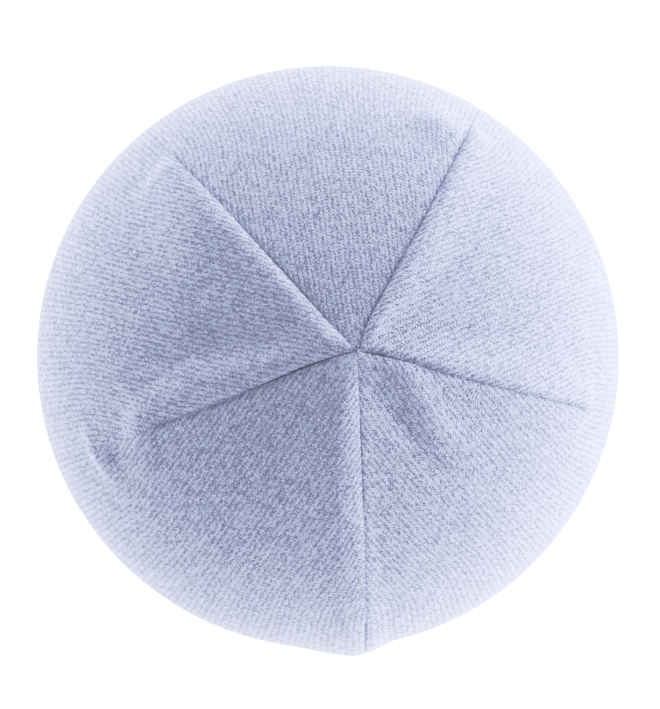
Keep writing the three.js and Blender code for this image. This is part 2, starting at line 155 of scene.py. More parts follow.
# The knit: ribs follow the lobe's middle line on the crown and run straight down the side
RIB_TURN_RADIUS = 0.85  # share of the widest radius where ribs turn from one to the other
RIB_TURN_BLEND = 0.06
RIB_ROUNDNESS = 2.4  # the more, the flatter a rib's top and the narrower its groove
RIB_RELIEF = 0.06
INNER_RELIEF = 0.2
SEAM_SHADE_WIDTH = 1.3  # reach of a seam's painted shade to either side
SEAM_SHADE_REACH = 12.0  # distance from the crown point over which that painted shade is up to twice as dark
PAINTED_LIGHT_REACH = 7.5  # distance from the crown point over which a lobe's painted light reaches
COURSE = 1.1  # height of one stitch
RIM_ROUND = 1.2  # length over which the cloth's edge is rounded at the rim

# Fineness of the meshes
OUTLINE_STEPS = 1600
SAMPLES_PER_RIB = 4
OUTER_ROWS = 190  # even, because the inner face has half as many
INNER_ROWS = OUTER_ROWS // 2
ROW_CROWDING = 1.25  # power that crowds rows towards the seams


def smooth(x):
    """A step from 0 to 1 with level ends."""
    x = np.clip(x, 0.0, 1.0)
    return x * x * (3.0 - 2.0 * x)


def outline_table():
    """Radius, height and outward direction of the hat's outline by arc length from the crown point."""
    angle = np.linspace(0.0, math.pi / 2, OUTLINE_STEPS)
    radius = BODY_RADIUS * np.sin(angle) ** DOME_FULLNESS
    dome = DOME_RISE * np.abs(np.cos(angle)) ** DOME_FULLNESS
    cone = CONE_RISE * (1.0 - radius / BODY_RADIUS)
    height = WIDEST_HEIGHT + dome + cone + TIP_RISE * np.exp(-radius / TIP_REACH)
    wall_height = np.linspace(WIDEST_HEIGHT, 0.0, OUTLINE_STEPS)[1:]
    swell = 0.5 - 0.5 * np.cos(math.pi * wall_height / WIDEST_HEIGHT)
    radius = np.concatenate([radius, RIM_RADIUS + (BODY_RADIUS - RIM_RADIUS) * swell])
    height = np.concatenate([height, wall_height])
    steps = np.hypot(np.diff(radius), np.diff(height))
    arc = np.concatenate([[0.0], np.cumsum(steps)])
    even = np.linspace(0.0, arc[-1], 2 * OUTLINE_STEPS)
    radius = np.interp(even, arc, radius)
    height = np.interp(even, arc, height)
    along_r = np.gradient(radius, even)
    along_z = np.gradient(height, even)
    size = np.hypot(along_r, along_z)
    out_r, out_z = -along_z / size, along_r / size
    return {"arc": even, "radius": radius, "height": height, "out_r": out_r, "out_z": out_z}


OUTLINE = outline_table()
CLOTH_LENGTH = OUTLINE["arc"][-1]
WIDEST_ROW = int(np.argmax(OUTLINE["radius"]))
WIDEST_ARC = OUTLINE["arc"][WIDEST_ROW]


def outline_at(arc):
    """Radius, height and outward direction at given arc lengths."""
    columns = ("radius", "height", "out_r", "out_z")
    return {key: np.interp(arc, OUTLINE["arc"], OUTLINE[key]) for key in columns}


def arc_at_radius(radius):
    """Arc length at which the crown has a given radius."""
    crown = slice(0, WIDEST_ROW + 1)
    return np.interp(radius, OUTLINE["radius"][crown], OUTLINE["arc"][crown])


def seam_end_arc(seam):
    """Arc length at which a seam's dart ends, without limit where it runs to the rim."""
    return math.inf if seam["end"] is None else float(arc_at_radius(seam["end"] * BODY_RADIUS))


def seam_azimuth(seam, radius):
    """Direction in plan of a seam at given radii, in radians."""
    swing = seam["swing"] * (1.0 - radius / BODY_RADIUS)
    return np.radians(seam["azimuth"] + swing + seam["turn"] * np.exp(-radius / SEAM_TURN_REACH))


def seam_strength(seam, arc, further=0.0):
    """1 along a seam, falling to 0 where its dart has died out."""
    return smooth((seam_end_arc(seam) + further - arc) / seam["fade"])


def lobe_seams(lobe):
    """The two seams that a lobe lies between, anticlockwise."""
    return SEAMS[lobe], SEAMS[(lobe + 1) % len(SEAMS)]


def lobe_edges(lobe, radius):
    """Directions in plan of a lobe's two seams at given radii, the second always the larger."""
    first, second = lobe_seams(lobe)
    turn = 2.0 * math.pi if second is SEAMS[0] else 0.0
    return seam_azimuth(first, radius), seam_azimuth(second, radius) + turn


def seam_roll(seam, arc, radius, x, side):
    """How far the cloth rolls into a seam at distance x on one of its sides, as a negative lift."""
    depth = seam["roll"] if side == seam["raised"] else seam["roll"] * LOWER_ROLL
    reach = seam["roll_start"] + (1.0 - seam["roll_start"]) * smooth(radius / ROLL_REACH)
    return -depth * reach * np.clip(1.0 - x / ROLL_RADIUS, 0.0, 1.0) ** 2 * seam_strength(seam, arc)


def band_width(seam, radius):
    """How wide a seam's raised band is here, as a share of its full width."""
    if seam["bowed"]:
        along = np.clip(radius / (BOW_END * BODY_RADIUS), 0.0, 1.0)
        return np.maximum(np.sin(math.pi * along), TINY) ** BOW_POWER
    return np.maximum(1.0 - np.exp(-radius / BAND_REACH), TINY)


def wall_share(arc):
    """How far a seam has changed from its crown form to its wall form, 0 to 1."""
    first = arc_at_radius(WALL_FROM * BODY_RADIUS)
    return smooth((arc - first) / (WIDEST_ARC - first))


def seam_ease(seam, radius, x):
    """How far the raised side bends down to a seam at distance x."""
    width = np.minimum(seam["ease_width"], EASE_SLOPE * radius + TINY)
    weaker = smooth((radius / BODY_RADIUS - EASE_FROM) / (EASE_TO - EASE_FROM))
    ease = seam["ease"] * width / seam["ease_width"] * (1.0 - (1.0 - WALL_EASE) * weaker)
    ease = ease * smooth(radius / max(EASE_LEAD * seam["rise"], TINY))
    return ease * np.clip(1.0 - x / width, 0.0, 1.0) ** seam["ease_power"]


def seam_step(seam, arc, radius, x, side):
    """How far a seam lifts the cloth at distance x on one of its sides."""
    wall = wall_share(arc)
    strength = seam_strength(seam, arc, seam["outlast"])
    if side != seam["raised"]:
        low = seam["low_step"] + (seam["low_wall_step"] - seam["low_step"]) * wall
        spread = seam["low_spread"] + (LOW_WALL_SPREAD - seam["low_spread"]) * wall
        risen = smooth(radius / max(seam["rise"], LOW_REACH))
        return low * risen * (1.0 - smooth(x / spread)) * strength
    step = seam["step"] + (seam["wall_step"] - seam["step"]) * wall
    flat = seam["flat"] + (min(seam["flat"], WALL_FLAT) - seam["flat"]) * wall
    spread = seam["spread"] + (seam["wall_spread"] - seam["spread"]) * wall
    width = band_width(seam, radius)
    fall = np.clip((x / width - flat) / (spread - flat), 0.0, 1.0) ** seam["lead"]
    band = step * (1.0 - smooth(fall))
    if seam["bowed"]:
        band = band * width
    band = band * smooth(radius / max(seam["rise"], TINY))
    return (band - seam_ease(seam, radius, x)) * strength


def fold_lift(x, y, height):
    """How far the dents and folds lift the cloth at a place in plan."""
    lift = np.zeros_like(x)
    for fold in FOLDS:
        heading = math.radians(fold["heading"])
        along = (x - fold["x"]) * math.cos(heading) + (y - fold["y"]) * math.sin(heading)
        across = -(x - fold["x"]) * math.sin(heading) + (y - fold["y"]) * math.cos(heading)
        lift -= fold["depth"] * np.exp(-((along / fold["length"]) ** 2) - (across / fold["width"]) ** 2)
    return lift * smooth((height - WIDEST_HEIGHT) / FOLD_FADE_HEIGHT)


def cloth_points(lobe, arc, share, inset, roll_share):
    """Points of the cloth from the hat's axis, at a share of 0 to 1 across the lobe."""
    at = outline_at(arc)
    radius, height = at["radius"], at["height"]
    first, second = lobe_seams(lobe)
    start, end = lobe_edges(lobe, radius)
    width = (end - start) * radius
    gap_first = seam_strength(first, arc) * SEAM_GAP / 2
    gap_second = seam_strength(second, arc) * SEAM_GAP / 2
    across = gap_first + share * (width - gap_first - gap_second)
    azimuth = start + across / np.maximum(radius, TINY)
    from_crown = smooth(radius / (PUFF_FULL_RADIUS * BODY_RADIUS))
    from_wall = smooth((height - WIDEST_HEIGHT) / (PUFF_FULL_HEIGHT * DOME_RISE))
    roll = seam_roll(first, arc, radius, across, 1) + seam_roll(second, arc, radius, width - across, -1)
    step = seam_step(first, arc, radius, across, 1) + seam_step(second, arc, radius, width - across, -1)
    puff = LOBE_PUFF * from_crown * from_wall * (1.0 - (2.0 * share - 1.0) ** 2)
    shift = np.where(height > WIDEST_HEIGHT, 1.0 - (radius / BODY_RADIUS) ** 2, 0.0)
    middle_x = CROWN_SHIFT[0] * shift
    middle_y = CROWN_SHIFT[1] * shift
    fold = fold_lift(middle_x + radius * np.cos(azimuth), middle_y + radius * np.sin(azimuth), height)
    settle = smooth(radius / TIP_SETTLE)
    lift = settle * (puff + step + roll_share * roll + fold) + (1.0 - settle) * TIP_LIFT - inset
    reach = radius + at["out_r"] * lift
    x = middle_x + reach * np.cos(azimuth)
    y = middle_y + reach * np.sin(azimuth)
    return np.stack([x, y, height + at["out_z"] * lift], axis=-1)


# The hat's axis in the frame: a radius in from the body's right and front faces, where its outline is round
BODY_HIGH = np.array(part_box("knit_body")[1]) / MM
AXIS = np.array([BODY_HIGH[0] - BODY_RADIUS, BODY_HIGH[1] - BODY_RADIUS, 0.0])


def rib_spread(arc):
    """How much of a lobe's ribs have come out of the seams at this arc length, 0 to 1."""
    radius = outline_at(np.minimum(arc, WIDEST_ARC))["radius"]
    share = radius / (RIB_TURN_RADIUS * BODY_RADIUS)
    bend = np.clip(share - (1.0 - RIB_TURN_BLEND), 0.0, 2.0 * RIB_TURN_BLEND)
    return np.minimum(share - bend**2 / (4.0 * RIB_TURN_BLEND), 1.0)


ALL_RIBS = 1.0 - 1e-9  # the spread at which every rib is out
SPREAD_TABLE = rib_spread(OUTLINE["arc"])
SPREAD_ROWS = slice(0, int(np.argmax(SPREAD_TABLE >= ALL_RIBS)) + 1)


def column_start(rib_share, lean):
    """Arc length at which a rib comes out of its seam. rib_share is -1 to 1 across the lobe."""
    side = np.where(rib_share < 0.0, -1.0, 1.0)
    if abs(lean) < TINY:
        spread = np.abs(rib_share)
    else:
        linear = side - lean
        spread = (-linear + side * np.sqrt(linear**2 + 4.0 * lean * rib_share)) / (2.0 * lean)
    return np.interp(spread, SPREAD_TABLE[SPREAD_ROWS], OUTLINE["arc"][SPREAD_ROWS])


OUTER_FACE = {"relief": RIB_RELIEF, "roll": 1.0}
INNER_FACE = {"relief": INNER_RELIEF, "roll": 0.0}


def rib_height(rib):
    """Height of the knit across its ribs: a round top and a narrow groove, 0 to 1."""
    across = np.abs(2.0 * (rib - np.floor(rib)) - 1.0)
    return 1.0 - across**RIB_ROUNDNESS


def lobe_lean(lobe):
    """How far a lobe's ribs lean at the crown, as a share of half its width."""
    first, second = lobe_seams(lobe)
    width = math.radians(second["azimuth"] - first["azimuth"]) % (2.0 * math.pi)
    return math.radians(LOBES[lobe]["lean"]) / (width / 2.0)


def rib_across(lobe, rib, arc):
    """Where a rib lies across its lobe at given arc lengths, 0 to 1."""
    rib_share = 2.0 * rib / LOBES[lobe]["ribs"] - 1.0
    spread = np.maximum(rib_spread(arc), TINY)
    return (np.clip(rib_share / spread + lobe_lean(lobe) * (1.0 - spread), -1.0, 1.0) + 1.0) / 2.0


def painted_seam_shade_and_crown_light(lobe, rib, arc):
    """How much painted shade darkens the knit along the seams beside it, up to 1, less the painted light
    near the crown point.
    """
    radius = outline_at(arc)["radius"]
    start, end = lobe_edges(lobe, radius)
    across = rib_across(lobe, rib, arc)
    first, second = lobe_seams(lobe)
    near = 1.0 + np.exp(-radius / SEAM_SHADE_REACH)
    shade = 0.0
    for seam, share in ((first, across), (second, 1.0 - across)):
        x = share * (end - start) * radius
        shade = shade + seam["line"] * near * seam_strength(seam, arc) * np.exp(-((x / SEAM_SHADE_WIDTH) ** 2))
    # painted light near the crown point lightens the knit of some lobes
    return np.minimum(shade, 1.0) - LOBES[lobe]["painted_light"] * np.exp(-((radius / PAINTED_LIGHT_REACH) ** 2))


def rib_points(lobe, rib, arc, face):
    """Points of a lobe's outer or inner face on given ribs at given arc lengths."""
    to_rim = np.clip(1.0 - (CLOTH_LENGTH - arc) / RIM_ROUND, 0.0, 1.0)
    rounding = 0.5 * WALL * (1.0 - np.sqrt(1.0 - to_rim**2))
    sunk = rounding + face["relief"] * (1.0 - rib_height(rib))
    inset = sunk if face is OUTER_FACE else WALL - sunk
    return cloth_points(lobe, arc, rib_across(lobe, rib, arc), inset, face["roll"])


def grid_normals(points, before, after):
    """Smooth normals of a grid, with the neighbour's column on either side where the cloth runs on."""
    first = points[:, :1] * 2.0 - points[:, 1:2] if before is None else before
    last = points[:, -1:] * 2.0 - points[:, -2:-1] if after is None else after
    wide = np.concatenate([first, points, last], axis=1)
    normals = np.cross(np.gradient(wide, axis=0), np.gradient(wide, axis=1))[:, 1:-1]
    return normals / np.maximum(np.linalg.norm(normals, axis=-1, keepdims=True), TINY)


def row_places(rows):
    """Places of a grid's rows from the seam to the rim, 0 to 1."""
    return np.linspace(0.0, 1.0, rows + 1) ** ROW_CROWDING


def lobe_grid(lobe, rows, face):
    """Points, normals, weave and painted shade and light of a grid whose columns follow the ribs from seam
    to rim.
    """
    ribs = LOBES[lobe]["ribs"]
    rib = np.linspace(0.0, ribs, ribs * SAMPLES_PER_RIB + 1)
    start = column_start(2.0 * rib / ribs - 1.0, lobe_lean(lobe))
    arc = start[None, :] + (CLOTH_LENGTH - start)[None, :] * row_places(rows)[:, None]
    rib = np.broadcast_to(rib, arc.shape)
    points = rib_points(lobe, rib, arc, face)
    first, second = lobe_seams(lobe)
    previous, following = (lobe - 1) % len(LOBES), (lobe + 1) % len(LOBES)
    step = 1.0 / SAMPLES_PER_RIB
    before = after = None
    if first["end"] is not None:
        rib_before = np.full_like(arc[:, :1], LOBES[previous]["ribs"] - step)
        before = rib_points(previous, rib_before, arc[:, :1], face)
    if second["end"] is not None:
        rib_after = np.full_like(arc[:, -1:], step)
        after = rib_points(following, rib_after, arc[:, -1:], face)
    normals = grid_normals(points, before, after)
    weave = np.stack([rib, (CLOTH_LENGTH - arc) / COURSE], axis=-1)
    return points, normals if face is OUTER_FACE else -normals, weave, painted_seam_shade_and_crown_light(lobe, rib, arc)


def grid_quads(rows, columns, first, flip):
    """Quads of a grid whose vertices are numbered row by row from first, and those numbers."""
    number = first + np.arange((rows + 1) * (columns + 1)).reshape(rows + 1, columns + 1)
    corners = [number[:-1, :-1], number[1:, :-1], number[1:, 1:], number[:-1, 1:]]
    if flip:
        corners.reverse()
    return np.stack(corners, axis=-1).reshape(-1, 4), number


def set_corner_map(mesh, name, places):
    """A UV map from one place for each face corner."""
    layer = mesh.uv_layers.new(name=name)
    layer.data.foreach_set("uv", np.asarray(places, dtype=np.float32).ravel())


def make_mesh(name, points, faces, weave, material):
    """A smooth-shaded mesh object from points in millimetres, with the weave as a UV map."""
    mesh = bpy.data.meshes.new(name)
    mesh.from_pydata((points * MM).tolist(), [], [tuple(face) for face in faces])
    mesh.polygons.foreach_set("use_smooth", [True] * len(mesh.polygons))
    set_corner_map(mesh, "Weave", weave[[corner for face in faces for corner in face]])
    mesh.materials.append(material)
    mesh.update()
    piece = bpy.data.objects.new(name, mesh)
    bpy.context.scene.collection.objects.link(piece)
    return piece


# Places of a lobe's faces on its texture: the outer and inner grids, and narrow bands for the edges between
MAP_ACROSS = (0.03, 0.97)
MAP_OUTER = (0.97, 0.36)
MAP_INNER = (0.31, 0.03)
MAP_SIDES = ((0.005, 0.02), (0.995, 0.98))
MAP_CROWN_EDGE = (0.98, 0.995)
MAP_RIM_EDGE = (0.32, 0.35)


def spread_between(ends, shares):
    """Values from one end to the other at given shares of the way."""
    return ends[0] + (ends[1] - ends[0]) * shares


def end_faces(outer, inner, u):
    """Quads that close a lobe along its crown edge and its rim, and their corners' places."""
    faces, places = [], []
    for j in range(len(u) - 1):
        low, high = MAP_CROWN_EDGE
        faces.append((outer[0, j], outer[0, j + 1], inner[0, j + 1], inner[0, j]))
        places += [(u[j], high), (u[j + 1], high), (u[j + 1], low), (u[j], low)]
        low, high = MAP_RIM_EDGE
        faces.append((outer[-1, j], inner[-1, j], inner[-1, j + 1], outer[-1, j + 1]))
        places += [(u[j], high), (u[j], low), (u[j + 1], low), (u[j + 1], high)]
    return faces, places


def side_faces(outer, inner, v):
    """Faces that close a lobe along its two seams, and their corners' places."""
    faces, places = [], []
    for column, (near, far), turn in ((0, MAP_SIDES[0], 1), (-1, MAP_SIDES[1], -1)):
        upper, lower = outer[:, column], inner[:, column]
        for i in range(len(lower) - 1):
            first, middle, last = 2 * i, 2 * i + 1, 2 * i + 2
            face = (upper[first], lower[i], lower[i + 1], upper[last], upper[middle])
            band = ((far, v[first]), (near, v[first]), (near, v[last]), (far, v[last]), (far, v[middle]))
            faces.append(face[::turn])
            places += band[::turn]
    return faces, places


def lobe_faces(columns):
    """All faces of a lobe, and the place of each face corner on its texture."""
    outer_quads, outer = grid_quads(OUTER_ROWS, columns, 0, False)
    inner_quads, inner = grid_quads(INNER_ROWS, columns, outer.size, True)
    u = spread_between(MAP_ACROSS, np.linspace(0.0, 1.0, columns + 1))
    outer_v = spread_between(MAP_OUTER, row_places(OUTER_ROWS))
    inner_v = spread_between(MAP_INNER, row_places(INNER_ROWS))
    grids = [np.stack(np.meshgrid(u, v), axis=-1).reshape(-1, 2) for v in (outer_v, inner_v)]
    faces = outer_quads.tolist() + inner_quads.tolist()
    places = np.concatenate(grids)[np.array(faces).ravel()].tolist()
    for edge_faces, edge_places in (end_faces(outer, inner, u), side_faces(outer, inner, outer_v)):
        faces += edge_faces
        places += edge_places
    return faces, places


def in_one_list(outer, inner):
    """The values of a lobe's outer and inner grids, one row for each vertex."""
    return np.concatenate([grid.reshape(-1, *grid.shape[2:]) for grid in (outer, inner)])


def make_lobe(lobe, material):
    """One fifth of the knit: a lobe of the crown and the side below it, as a closed double-faced cloth."""
    outer = lobe_grid(lobe, OUTER_ROWS, OUTER_FACE)
    inner = lobe_grid(lobe, INNER_ROWS, INNER_FACE)
    points, normals, weave, shade = (in_one_list(*pair) for pair in zip(outer, inner))
    faces, places = lobe_faces(LOBES[lobe]["ribs"] * SAMPLES_PER_RIB)
    piece = make_mesh("knit_" + LOBES[lobe]["name"], points + AXIS, faces, weave, material)
    set_corner_map(piece.data, "OFBake", places)
    # painted shade along the seams and painted light near the crown point, stored on the mesh
    line = piece.data.attributes.new("painted_seam_shade_and_crown_light", "FLOAT", "POINT")
    line.data.foreach_set("value", shade)
    piece.data.normals_split_custom_set_from_vertices(normals.tolist())
    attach(piece, "root")
    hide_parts("knit_body")


# The cloth turned under inside each seam, bound by an overlock thread, in millimetres
STRIP_WIDTH = 6.0
STRIP_THICKNESS = 2.0
STRIP_CLEARANCE = 0.35  # to the inside of the wall
STRIP_SEAM_MARGIN = 0.3
STRIP_START = 11.0  # radius at which it starts
STRIP_NARROW = 1.6  # its width at the ends
STRIP_TAPER = 16.0
STRIP_RIM_MARGIN = 3.0
STRIP_TIP = 0.02  # the least square of its ends' share of the full section
STRIP_STEP = 0.5
STRIP_SIDES = 20
STRIP_SQUARENESS = 0.55  # power of the section's sine and cosine: 1 is an ellipse, less is squarer
THREAD_PITCH = 2.6  # between the loops of the overlock thread
THREAD_RELIEF = 0.16


def squared(value):
    """A sine or cosine made squarer."""
    return np.sign(value) * np.abs(value) ** STRIP_SQUARENESS


def strip_section(seam, arc, turn):
    """Distance from the seam, and depth under the cloth's outer face, of points round a strip."""
    from_start, to_end = arc - arc[0], arc[-1] - arc
    to_tip = np.minimum(from_start, to_end)
    narrowing = from_start if seam["end"] is None else to_tip
    width = STRIP_NARROW + (STRIP_WIDTH - STRIP_NARROW) * smooth(narrowing / STRIP_TAPER)
    tip = np.sqrt(np.clip(to_tip / STRIP_THICKNESS, STRIP_TIP, 1.0))
    pinch = THREAD_RELIEF * (1.0 + np.cos(2.0 * math.pi * arc / THREAD_PITCH)) / 2.0
    half_width = (width - STRIP_SEAM_MARGIN) / 2.0
    half_depth = (STRIP_THICKNESS / 2.0 - pinch) * tip
    across = STRIP_SEAM_MARGIN + half_width + (half_width - pinch) * tip * squared(np.cos(turn))
    depth = WALL + STRIP_CLEARANCE + STRIP_THICKNESS / 2.0 + half_depth * squared(np.sin(turn))
    return across, depth


def tube_faces(rows, sides, order):
    """Faces of a tube with closed ends, whose vertices are numbered ring by ring."""
    number = np.arange((rows + 1) * sides).reshape(rows + 1, sides)
    number = np.concatenate([number, number[:, :1]], axis=1)
    corners = [number[:-1, :-1], number[:-1, 1:], number[1:, 1:], number[1:, :-1]]
    faces = np.stack(corners, axis=-1).reshape(-1, 4)[:, ::order].tolist()
    faces.append(number[0, :-1][::order].tolist())
    faces.append(number[-1, :-1][::-order].tolist())
    return faces


def make_strip(index, material):
    """The turned-under cloth of one seam, as a soft band that the thread's loops pinch at every turn."""
    seam = SEAMS[index]
    lobe = index if seam["raised"] > 0 else (index - 1) % len(SEAMS)
    first = float(arc_at_radius(STRIP_START))
    last = min(seam_end_arc(seam), CLOTH_LENGTH - STRIP_RIM_MARGIN)
    rows = round((last - first) / STRIP_STEP)
    arc = np.linspace(first, last, rows + 1)[:, None]
    turn = np.linspace(0.0, 2.0 * math.pi, STRIP_SIDES + 1)[None, :]
    across, depth = strip_section(seam, arc, turn)
    radius = outline_at(arc)["radius"]
    start, end = lobe_edges(lobe, radius)
    share = across / ((end - start) * radius)
    if seam["raised"] < 0:
        share = 1.0 - share
    arc = np.broadcast_to(arc, share.shape)
    turn = np.broadcast_to(turn, share.shape)
    points = cloth_points(lobe, arc, share, depth, 0.0)[:, :-1] + AXIS
    weave = np.stack([turn / (2.0 * math.pi), arc / THREAD_PITCH], axis=-1)[:, :-1]
    faces = tube_faces(rows, STRIP_SIDES, -seam["raised"])
    name = "seam_strip_" + seam["name"]
    piece = make_mesh("bound_" + name, points.reshape(-1, 3), faces, weave.reshape(-1, 2), material)
    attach(piece, "root")
    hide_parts(name)


# Fineness of the noise in all materials
NOISE_DETAIL = 2.0
NOISE_ROUGHNESS = 0.6


class NodeGraph:
    """Short calls that add shader nodes and return their output sockets."""

    def __init__(self, tree):
        self.tree = tree

    def add(self, kind, inputs=None, output=0, **settings):
        node = self.tree.nodes.new(kind)
        for key, value in settings.items():
            setattr(node, key, value)
        self.feed(node, inputs or {})
        return node.outputs[output]

    def feed(self, node, inputs):
        for key, value in inputs.items():
            if isinstance(value, bpy.types.NodeSocket):
                self.tree.links.new(value, node.inputs[key])
            else:
                node.inputs[key].default_value = value

    def math(self, operation, *values):
        return self.add("ShaderNodeMath", dict(enumerate(values)), operation=operation)

    def noise(self, vector, scale):
        fineness = {"Detail": NOISE_DETAIL, "Roughness": NOISE_ROUGHNESS}
        return self.add("ShaderNodeTexNoise", {"Vector": vector, "Scale": scale, **fineness})

    def split(self, vector):
        node = self.tree.nodes.new("ShaderNodeSeparateXYZ")
        self.tree.links.new(vector, node.inputs[0])
        return node.outputs[0], node.outputs[1], node.outputs[2]

    def ramp(self, value, stops):
        node = self.tree.nodes.new("ShaderNodeValToRGB")
        self.tree.links.new(value, node.inputs[0])
        elements = node.color_ramp.elements
        while len(elements) < len(stops):
            elements.new(0.5)
        for element, (place, colour) in zip(elements, stops):
            element.position = place
            element.color = (*colour, 1.0)
        return node.outputs[0]


def new_material(name):
    """A new material, the graph of its nodes, and its shader."""
    material = bpy.data.materials.new(name)
    material.use_nodes = True
    return material, NodeGraph(material.node_tree), material.node_tree.nodes["Principled BSDF"]


# Tones of the heather yarn, as linear colours from its darkest fibres to its palest
YARN_TONES = [
    (0.00, (0.185, 0.204, 0.308)),
    (0.50, (0.420, 0.458, 0.627)),
    (1.00, (0.600, 0.652, 0.890)),
]
STITCH_SLANT = 0.55  # courses by which a stitch's legs rise from the groove to the rib's crest
MIDDLE_TONE = 0.495  # of the yarn's tones, on average
GROOVE_SHARPNESS = 1.8  # the more, the narrower the grooves
GROOVE_PAINTED_SHADE = 0.34  # how dark the painted shade in the grooves between ribs is
GAP_SHARPNESS = 2.0  # the more, the narrower the gaps
GAP_PAINTED_SHADE = 0.13  # how dark the painted shade in the gaps between stitches is
SEAM_PAINTED_SHADE = 0.3  # how dark the painted shade along a seam is
STITCH_TONE = 0.42  # how far the tone changes from one stitch leg to the next
TUFT_TONE = 0.16
FUZZ_TONE = 3.0
TUFT_SCALE = 1.6  # per rib
FUZZ_SCALE = 2400.0  # per metre
BUMP_HEIGHT = 0.0003
STITCH_BUMP = 0.5  # shares of that height
TUFT_BUMP = 0.9
FUZZ_BUMP = 0.5
KNIT_FINISH = {"Roughness": 0.95, "Sheen Weight": 0.35, "Sheen Roughness": 0.45, "Specular IOR Level": 0.2}


def knit_material():
    """Rib knit of heather yarn: slanted stitch legs either side of each rib's crest, tufts, fuzz and painted
    shade.
    """
    material, graph, shader = new_material("rib_knit")
    weave = graph.add("ShaderNodeUVMap", uv_map="Weave")
    place = graph.add("ShaderNodeTexCoord", output="Object")
    rib, course, _ = graph.split(weave)
    from_left = graph.math("MULTIPLY", graph.math("FRACT", rib), 2.0)
    across = graph.math("ABSOLUTE", graph.math("SUBTRACT", from_left, 1.0))
    # painted shade in the grooves between ribs
    groove_shade = graph.math("POWER", across, GROOVE_SHARPNESS)
    leg_line = graph.math("ADD", course, graph.math("MULTIPLY", across, STITCH_SLANT))
    stitch = graph.math("PINGPONG", leg_line, 0.5)
    # painted shade in the gaps between stitches
    gap_shade = graph.math("POWER", graph.math("MULTIPLY_ADD", stitch, -2.0, 1.0), GAP_SHARPNESS)
    leg = graph.math("FLOOR", graph.math("MULTIPLY", rib, 2.0))
    cell = graph.add("ShaderNodeCombineXYZ", {0: leg, 1: graph.math("FLOOR", leg_line)})
    tone = graph.add("ShaderNodeTexWhiteNoise", {"Vector": cell}, noise_dimensions="3D")
    tufts = graph.noise(weave, TUFT_SCALE)
    fuzz = graph.noise(place, FUZZ_SCALE)
    # painted shade along the seams, standing in for the shade in their grooves, less painted light near the
    # crown point
    line = graph.add("ShaderNodeAttribute", output="Fac", attribute_name="painted_seam_shade_and_crown_light")
    # the tone is raised by the painted shade's mean, which the grooves, gaps and seams then take away
    shade = MIDDLE_TONE + GROOVE_PAINTED_SHADE / (GROOVE_SHARPNESS + 1.0) + GAP_PAINTED_SHADE / (GAP_SHARPNESS + 1.0)
    for value, share in ((groove_shade, GROOVE_PAINTED_SHADE), (gap_shade, GAP_PAINTED_SHADE), (line, SEAM_PAINTED_SHADE)):
        shade = graph.math("MULTIPLY_ADD", value, -share, shade)
    for value, share in ((tone, STITCH_TONE), (tufts, TUFT_TONE), (fuzz, FUZZ_TONE)):
        shade = graph.math("MULTIPLY_ADD", graph.math("SUBTRACT", value, 0.5), share, shade)
    height = 0.0
    for value, share in ((stitch, STITCH_BUMP), (tufts, TUFT_BUMP), (fuzz, FUZZ_BUMP)):
        height = graph.math("MULTIPLY_ADD", value, share, height)
    bump = graph.add("ShaderNodeBump", {"Height": height, "Distance": BUMP_HEIGHT, "Strength": 1.0})
    graph.feed(shader, {"Base Color": graph.ramp(shade, YARN_TONES), "Normal": bump, **KNIT_FINISH})
    return material


# Tones of the overlock thread, as linear colours
THREAD_TONES = [
    (0.00, (0.170, 0.195, 0.350)),
    (0.45, (0.360, 0.400, 0.600)),
    (1.00, (0.660, 0.690, 0.860)),
]
THREAD_SLANT = 0.35  # share of the pitch by which a loop leans across the strip
THREAD_ROUNDNESS = 0.6  # power of a loop's height: 1 is a ridge, less is rounder
STRAND_COUNT = 14.0  # strands of fibre seen across one loop
SHADE_BETWEEN_LOOPS = 0.02  # tone of the painted shade between the loops
LOOP_PAINTED_SHADING = 0.5  # how much paler a loop's top is than that painted shade
STRAND_PAINTED_SHADING = 0.3  # how much paler a strand's middle is, painted light and shade by its height
STRAND_BUMP = 0.4  # height of a strand as a share of a loop's
THREAD_FINISH = {"Roughness": 0.9, "Sheen Weight": 0.3, "Sheen Roughness": 0.45, "Specular IOR Level": 0.25}


def strip_material():
    """The overlock thread that wraps the turned-under cloth: slanted loops of twisted fibre, painted darker
    between loops and strands and lighter on their tops.
    """
    material, graph, shader = new_material("seam_cloth")
    weave = graph.add("ShaderNodeUVMap", uv_map="Weave")
    place = graph.add("ShaderNodeTexCoord", output="Object")
    round_it, along, _ = graph.split(weave)
    lean = graph.math("PINGPONG", graph.math("MULTIPLY", round_it, 2.0), 0.5)
    loop = graph.math("PINGPONG", graph.math("MULTIPLY_ADD", lean, THREAD_SLANT, along), 0.5)
    thread = graph.math("POWER", graph.math("MULTIPLY", loop, 2.0), THREAD_ROUNDNESS)
    twist = graph.math("MULTIPLY", graph.math("ADD", loop, round_it), STRAND_COUNT)
    strands = graph.math("PINGPONG", twist, 0.5)
    fuzz = graph.noise(place, FUZZ_SCALE)
    # painted shade between loops and strands, lighter on their tops
    shade = graph.math("MULTIPLY_ADD", thread, LOOP_PAINTED_SHADING, SHADE_BETWEEN_LOOPS)
    shade = graph.math("MULTIPLY_ADD", strands, STRAND_PAINTED_SHADING, shade)
    shade = graph.math("MULTIPLY_ADD", graph.math("SUBTRACT", fuzz, 0.5), FUZZ_TONE, shade)
    height = graph.math("MULTIPLY_ADD", strands, STRAND_BUMP, graph.math("ADD", thread, fuzz))
    bump = graph.add("ShaderNodeBump", {"Height": height, "Distance": BUMP_HEIGHT, "Strength": 1.0})
    graph.feed(shader, {"Base Color": graph.ramp(shade, THREAD_TONES), "Normal": bump, **THREAD_FINISH})
    return material


